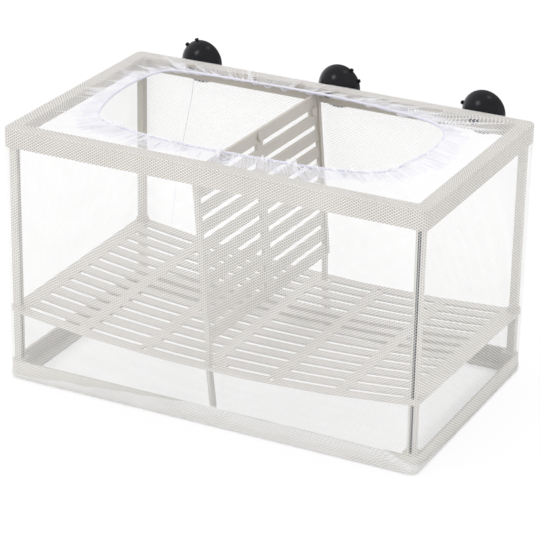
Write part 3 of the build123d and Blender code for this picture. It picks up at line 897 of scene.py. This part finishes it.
def foot_points(columns):
    """The doubled net at the bag's foot: out from under the box, up the rail, over its folded edge
    and down again behind itself. Its columns lean, so its holes cross those of the wall."""
    turn = FOOT_TURN
    floor_z = FOOT_FLOOR_Z
    fold_run = math.pi * FOOT_FOLD
    walk = np.concatenate(
        [
            np.linspace(0, FOOT_LENGTH, 70),
            FOOT_LENGTH + np.linspace(0, fold_run, 6)[1:],
            FOOT_LENGTH + fold_run + np.linspace(0, FOOT_BACK, 14)[1:],
        ]
    )
    fractions = np.arange(columns) / columns
    waves = ((31, 0.25), (57, 0.2), (90, 0.12))
    loose = sum(wave(fractions, cycles, strength) for cycles, strength in waves)
    edge = foot_height(fractions)
    rows = []
    for step in walk:
        if step <= FOOT_LENGTH:
            down = FOOT_LENGTH - step
            upright = edge - floor_z - turn
            bend = np.clip(down - upright, 0, turn * math.pi / 2) / turn
            z = np.where(down < upright, edge - down, floor_z + turn * (1 - np.sin(bend)))
            inset = turn * (1 - np.cos(bend)) + np.clip(down - upright - turn * math.pi / 2, 0, None)
            free = np.clip(1 - down / 8.0, 0, 1)
        elif step <= FOOT_LENGTH + fold_run:
            angle = (step - FOOT_LENGTH) / FOOT_FOLD
            z = edge + FOOT_FOLD * math.sin(angle)
            inset = np.full(columns, FOOT_FOLD * (1 - math.cos(angle)))
            free = 1.0
        else:
            share = (step - FOOT_LENGTH - fold_run) / FOOT_BACK
            z = edge - np.minimum(FOOT_BACK, np.maximum(edge - 3.0, 0.5)) * share
            inset = np.full(columns, 2 * FOOT_FOLD)
            free = 1 - share
        leaning = fractions + FOOT_LEAN * z / (4 * TOP_HALF.sum())
        places, normals = outline_at(bag_half(0.0) + FOOT_OFF, NET_CORNER + FOOT_OFF - NET_OFF, leaning)
        grow = (TOP_HALF[0] - BASE_HALF[0]) * z / TOP_Z
        flat = places + normals * (grow - inset + np.abs(loose) * free)[:, None]
        rows.append(np.column_stack([flat, z]))
    points = np.array(rows)
    return np.concatenate([points, points[:, :1]], axis=1)


def smooth_closed(points, count):
    """A smooth closed curve through the given points, count places along it."""
    knots = np.array(points)
    size = len(knots)
    result = []
    for place in np.arange(count) / count * size:
        start = int(place)
        t = place - start
        a, b, c, d = (knots[(start + step) % size] for step in (-1, 0, 1, 2))
        curve = 2 * b + (c - a) * t + (2 * a - 5 * b + 4 * c - d) * t**2
        result.append((curve + (3 * b - a - 3 * c + d) * t**3) / 2)
    return np.array(result)


def mouth_at(outer):
    """For each point of the frame's outline, the mouth's edge point in the same direction."""
    edge = smooth_closed(MOUTH_EDGE, 2400)
    middle = (edge.min(axis=0) + edge.max(axis=0)) / 2
    reach = np.ptp(edge, axis=0) / 2
    angle = np.arctan2(*((edge - middle) / reach).T[::-1])
    order = np.argsort(angle)
    angle, edge = angle[order], edge[order]
    angle = np.concatenate([angle[-5:] - 2 * math.pi, angle, angle[:5] + 2 * math.pi])
    edge = np.concatenate([edge[-5:], edge, edge[:5]])
    wanted = np.arctan2(*(outer / TOP_HALF).T[::-1])
    return np.column_stack([np.interp(wanted, angle, edge[:, k]) for k in (0, 1)])


def wave(places, cycles, strength):
    """A closed wave with its own phase."""
    return strength * np.sin(2 * math.pi * (cycles * places + rng.uniform()))


def ripple(places, cycles, spread):
    """Uneven pleats: how high and how far sideways the net goes, from some waves close to one count
    and slow changes of height. Where both are large, the pleats lean over each other."""
    counts = [round(cycles * share) for share in (1.0, 1 - spread, 1 + spread, 1 - 2 * spread)]
    turns = sum(
        strength * np.exp(2j * math.pi * (count * places + rng.uniform()))
        for count, strength in zip(counts, (1.0, 0.8, 0.7, 0.5))
    )
    slow = 1 + sum(wave(places, count, 0.22) for count in (13, 23, 37))
    return 0.5 * turns.imag * slow, 0.5 * turns.real * slow


def mouth_lines(columns):
    """The frame's outline, the inner edge of its flange and the mouth's edge, column by column, with
    the direction from the flange to the mouth."""
    outer, normals = rounded_rectangle(TOP_HALF + NET_OFF, NET_CORNER, columns)
    mouth = mouth_at(outer)
    inner, _ = rounded_rectangle(TOP_HALF - FLANGE, 1.5, columns)
    angles = np.arctan2(*(inner / (TOP_HALF - FLANGE)).T[::-1])
    order = np.argsort(angles)
    wanted = np.arctan2(*(outer / TOP_HALF).T[::-1])
    lip = np.column_stack(
        [np.interp(wanted, angles[order], inner[order, k], period=2 * math.pi) for k in (0, 1)]
    )
    toward = mouth - lip
    toward /= np.maximum(np.linalg.norm(toward, axis=1, keepdims=True), 1e-6)
    return outer, normals, lip, mouth, toward


def slope_height(share):
    """Height of the net between the flange, share 0, and the mouth, share 1, with a little sag."""
    return FLANGE_NET_Z + (MOUTH_Z + HEM_RADIUS - FLANGE_NET_Z) * share - 0.8 * np.sin(math.pi * share)


def top_line(columns):
    """The smooth run of the bag's top at each column: over the frame's edge, across the flange and to
    the mouth. Gives the points and which of them is on the mouth's edge."""
    outer, normals, lip, mouth, toward = mouth_lines(columns)
    stations = []
    for turn in np.linspace(0, math.pi / 2, 6):
        inset = WRAP * (1 - math.cos(turn))
        stations.append((outer - normals * inset, TURN_Z + (FLANGE_NET_Z - TURN_Z) * math.sin(turn)))
    stations.append((lip, FLANGE_NET_Z))
    for share in np.linspace(0, 1, 30)[1:]:
        stations.append((lip + (mouth - lip) * share, slope_height(share)))
    mouth_station = len(stations) - 1
    for turn in np.linspace(0, math.pi / 2, 4)[1:]:
        flat = mouth + toward * HEM_RADIUS * math.sin(turn)
        stations.append((flat, MOUTH_Z + HEM_RADIUS * math.cos(turn)))
    line = np.array([np.column_stack([flat, np.full(columns, height)]) for flat, height in stations])
    return line, mouth_station, toward


def top_points(columns, rows):
    """The bag's top with its gathers: pleats that run out from the mouth and merge on the way, long
    pleats at the corners, and slack that lies crumpled where the mouth is close to the frame."""
    line, mouth_station, toward = top_line(columns)
    steps = np.linalg.norm(np.diff(line, axis=0), axis=2)
    along = np.concatenate([np.zeros((1, columns)), np.cumsum(steps, axis=0)])
    flange_run = FLANGE + EDGE_RUN
    flange_share = flange_run / (TOP_ROWS * MESH_ALONG)
    shares = np.linspace(0, 1, rows)
    points = np.zeros((rows, columns, 3))
    from_mouth = np.zeros((rows, columns))
    for column in range(columns):
        length = along[-1, column]
        rest = length - flange_run
        knots = [0, flange_run, length]
        stepped = np.interp(shares, [0, flange_share, 1], knots)
        even = min(max(rest / EVEN_RUN, 0), 1)
        wanted_length = even * stepped + (1 - even) * shares * length
        for k in range(3):
            points[:, column, k] = np.interp(wanted_length, along[:, column], line[:, column, k])
        from_mouth[:, column] = along[mouth_station, column] - wanted_length

    places = np.arange(columns) / columns
    depth = shares[:, None]
    distance = np.maximum(from_mouth, 0)
    lift = np.zeros((rows, columns))
    shift = np.zeros((rows, columns))
    for cycles, spread, height, reach in PLEATS:
        reach = reach * (1 + wave(places, 17, 0.25) + wave(places, 29, 0.2))[None]
        fade = np.exp(-((distance / reach) ** 2)) * np.clip(0.3 + distance / 3.0, 0, 1)
        high, sideways = ripple(places, cycles, spread)
        lift += height * high[None] * fade
        shift += height * sideways[None] * fade
    for place, spread, height in CORNER_PLEATS:
        far = np.mod(places - place + 0.5, 1.0) - 0.5
        window = np.exp(-((far / spread) ** 2)) * height
        fold = np.sin(2 * math.pi * 58 * places) + 0.4 * np.sin(2 * math.pi * 97 * places + 1.0)
        lift += (window * fold)[None] * np.sin(math.pi * np.clip(depth * 1.25 - 0.2, 0, 1)) ** 0.7
    slack = np.clip(1.8 - along[mouth_station] / SLACK_RUN, 0, 1)[None]
    on_top = np.clip(depth * 6 - 1, 0, 1) * (from_mouth > 0)
    for cycles, turns, height in CRUMPLES:
        height = height * rng.uniform(0.7, 1.1)
        angle = 2 * math.pi * (places[None] * cycles + depth * turns + rng.uniform())
        lift += height * np.sin(angle) * slack * on_top
        shift += height * np.cos(angle) * slack * on_top
    over_x = np.clip((np.abs(points[:, :, 0]) - (TOP_HALF[0] - FLANGE - 1)) / 1.0, 0, 1)
    over_y = np.clip((np.abs(points[:, :, 1]) - (TOP_HALF[1] - FLANGE - 1)) / 1.0, 0, 1)
    over_flange = np.maximum(over_x, over_y)
    lift *= 1 - 0.45 * slack
    shift *= 1 - 0.35 * slack
    lift = lift * (1 - over_flange) + (0.9 + 0.6 * lift + 0.35 * np.abs(lift)) * over_flange * on_top
    held = np.clip(depth * 8, 0, 1) * (from_mouth > -0.1)
    points[:, :, 2] += lift * held
    points[:, :, 0] += -toward[None, :, 1] * shift * held
    points[:, :, 1] += toward[None, :, 0] * shift * held
    return np.concatenate([points, points[:, :1]], axis=1)


def hem_points(columns, rows):
    """The net that is turned in round the elastic and runs back under the top, crumpled all the way to
    its loose edge."""
    _, _, lip, mouth, toward = mouth_lines(columns)
    span = np.linalg.norm(mouth - lip, axis=1)
    places = np.arange(columns) / columns
    uneven = ((5, 3.0), (13, 2.0), (31, 2.0), (67, 1.5))
    width = HEM_WIDTH + sum(wave(places, count, size) for count, size in uneven)
    width = np.minimum(width, np.maximum(span - 1.5, 1.0))
    result = []
    turns = list(np.linspace(math.pi / 2, math.pi, 4))
    for turn in turns:
        flat = mouth + toward * HEM_RADIUS * math.sin(turn)
        result.append(np.column_stack([flat, np.full(columns, MOUTH_Z + HEM_RADIUS * math.cos(turn))]))
    sidewards = np.column_stack([-toward[:, 1], toward[:, 0]])
    pleats = [(height, ripple(places, cycles, spread)) for cycles, spread, height in HEM_PLEATS]
    for share in np.linspace(0, 1, rows - len(turns) + 1)[1:]:
        back = width * share
        flat = mouth - toward * back[:, None]
        level = slope_height(1 - back / np.maximum(span, 1.0)) - 2 * HEM_RADIUS - 0.9 * share
        grow = min(0.35 + 1.2 * share, 1.0)
        for height, (high, sideways) in pleats:
            level = level + height * high * grow
            flat = flat + sidewards * (height * sideways * grow)[:, None]
        result.append(np.column_stack([flat, level]))
    points = np.array(result)
    return np.concatenate([points, points[:, :1]], axis=1)


def bottom_points():
    """The bag's floor, one flat layer under the base frame."""
    half = BASE_HALF + NET_OFF - WRAP
    u = np.linspace(-1, 1, 60)
    v = np.linspace(-1, 1, 40)
    x, y = np.meshgrid(u * half[0], v * half[1])
    radius = NET_CORNER
    beyond_x = np.clip(np.abs(x) - (half[0] - radius), 0, None)
    beyond_y = np.clip(np.abs(y) - (half[1] - radius), 0, None)
    far = np.hypot(beyond_x, beyond_y)
    longest = np.maximum(beyond_x, beyond_y)
    pull = np.where(far > 0, longest / np.maximum(far, 1e-9), 1.0)
    x = np.sign(x) * (np.minimum(np.abs(x), half[0] - radius) + beyond_x * pull)
    y = np.sign(y) * (np.minimum(np.abs(y), half[1] - radius) + beyond_y * pull)
    return np.stack([x, y, np.full_like(x, FLOOR_NET_Z)], axis=-1)


# ---------------------------------------------------------------- pieces
def cord_round(name, places, radius, material, sides=8):
    """A closed round cord through the given places."""
    ahead = np.roll(places, -1, axis=0) - np.roll(places, 1, axis=0)
    ahead /= np.linalg.norm(ahead, axis=1, keepdims=True)
    side = np.cross(ahead, (0, 0, 1))
    side /= np.linalg.norm(side, axis=1, keepdims=True)
    up = np.cross(side, ahead)
    turns = np.arange(sides) / sides * 2 * math.pi
    ring = (
        places[:, None]
        + side[:, None] * np.cos(turns)[None, :, None] * radius
        + up[:, None] * np.sin(turns)[None, :, None] * radius
    )
    count = len(places)
    index = np.arange(count * sides).reshape(count, sides)
    beyond = np.roll(index, -1, axis=0)
    faces = np.stack(
        [index, np.roll(index, -1, axis=1), np.roll(beyond, -1, axis=1), beyond], axis=-1
    ).reshape(-1, 4)
    mesh = bpy.data.meshes.new(name)
    mesh.from_pydata(ring.reshape(-1, 3) * MM, [], faces.tolist())
    mesh.materials.append(material)
    mesh.shade_smooth()
    return add_object(name, mesh)


make_camera()
make_studio()

FRAME_TONES = (0.485, 0.455, 0.405), (0.55, 0.515, 0.46)
POST_TONES = (0.52, 0.50, 0.455), (0.59, 0.565, 0.515)
BASE_TONES = (0.57, 0.55, 0.50), (0.64, 0.615, 0.565)
top_plastic = moulded_plastic("top frame plastic", *FRAME_TONES)
base_plastic = moulded_plastic("base frame plastic", *BASE_TONES)
post_plastic = moulded_plastic("post plastic", *POST_TONES)
shelf_plastic = moulded_plastic("shelf plastic", (0.53, 0.50, 0.46), (0.585, 0.555, 0.515), 0.38)
# painted shade: the divider's plastic is a darker copy of the shelf's, for its face turned away from the
# light
shaded_divider_plastic = moulded_plastic("divider plastic", (0.49, 0.46, 0.42), (0.54, 0.51, 0.465), 0.38)
rubber = black_rubber()
thread = thread_material("white thread", (0.96, 0.96, 0.965))
top_thread = thread_material("white thread of the top", (0.95, 0.95, 0.975))
# partly the thread's own lavender tint, partly painted shade: the gathered hem's thread is darker than the
# white thread, for the shade in its folds
shaded_gathered_thread = thread_material("gathered thread", (0.82, 0.82, 0.92))
elastic_thread = thread_material("lavender white elastic", (0.76, 0.75, 0.86))

for node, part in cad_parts.items():
    if node.startswith("suction_cup"):
        material = rubber
    # posts whose grooves get painted shade inside
    elif node in SHADED_GROOVES:
        low, high = (np.array(corner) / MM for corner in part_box(node))
        groove = (tuple((low + high)[:2] / 2), SHADED_GROOVES[node])
        material = moulded_plastic(node.replace("_", " ") + " plastic", *POST_TONES, groove=groove)
    elif node.startswith("post"):
        material = post_plastic
    elif node == "top_frame":
        material = top_plastic
    elif node == "base_frame":
        material = base_plastic
    else:
        continue
    for slot in part.material_slots:
        slot.material = material

NET = net_tree()
PLATE = plate_tree()


def place(piece, body, slot, *nodes):
    """A piece rides on its body and stands for its nodes."""
    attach(piece, body)
    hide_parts(*nodes)


def declare_net(piece, slot, columns, rows, held, *nodes):
    """A piece of the bag: it rides on the box and stands for its nodes. Its slot, columns, rows and held
    are not used."""
    place(piece, "box", slot, *nodes)


place(make_shelf(shelf_plastic), "shelf", "shelf_plastic", "shelf")
place(make_divider(shaded_divider_plastic), "divider", "shelf_plastic", "divider")

wall = sheet_mesh("wall shape", wall_points(COLUMNS))
share_x = TOP_HALF[0] / (2 * TOP_HALF.sum())
long_columns = int(COLUMNS * share_x) // 2 * 2
short_columns = COLUMNS // 2 - long_columns
starts = {
    "net_rear": (-long_columns // 2, long_columns),
    "net_right": (long_columns // 2, short_columns),
    "net_front": (long_columns // 2 + short_columns, long_columns),
    "net_left": (long_columns // 2 + short_columns + long_columns, short_columns),
}
for name, (first, columns) in starts.items():
    piece = knit(name + "_mesh", wall.copy(), thread, first, columns, WALL_ROWS, COLUMNS, WALL_ROWS)
    declare_net(piece, "net", columns, WALL_ROWS, "stretched", name)

top = sheet_mesh("top shape", top_points(1840, 110), even_rows=True)
piece = knit("net_top_mesh", top, top_thread, 0, COLUMNS, TOP_ROWS, COLUMNS, TOP_ROWS)
declare_net(piece, "net", COLUMNS, TOP_ROWS, "gathered", "net_border", "net_mouth")

hem = sheet_mesh("hem shape", hem_points(1840, 40))
piece = knit("mouth_hem_mesh", hem, shaded_gathered_thread, 0, HEM_COLUMNS, HEM_ROWS, HEM_COLUMNS, HEM_ROWS)
declare_net(piece, "net", HEM_COLUMNS, HEM_ROWS, "gathered", "net_mouth")

foot = sheet_mesh("foot shape", foot_points(COLUMNS * 2))
piece = knit("net_foot_mesh", foot, thread, 0, COLUMNS, FOOT_ROWS, COLUMNS, FOOT_ROWS)
declare_net(piece, "seam_tape", COLUMNS, FOOT_ROWS, "folded", "net_base_seam")

floor_columns, floor_rows = 198, 92
bottom = sheet_mesh("floor shape", bottom_points())
counts = (1, floor_columns, floor_rows, floor_columns + 2, floor_rows)
piece = knit("net_bottom_mesh", bottom, thread, *counts)
declare_net(piece, "net", floor_columns, floor_rows, "stretched", "net_bottom")

edge = smooth_closed(MOUTH_EDGE, 400)
elastic = cord_round(
    "elastic_cord", np.column_stack([edge, np.full(len(edge), MOUTH_Z)]), ELASTIC_RADIUS, elastic_thread
)
place(elastic, "box", "elastic", "mouth_elastic")
place(make_seam(thread_material("seam thread", (0.86, 0.86, 0.94))), "box", "seam_tape", "net_seam")
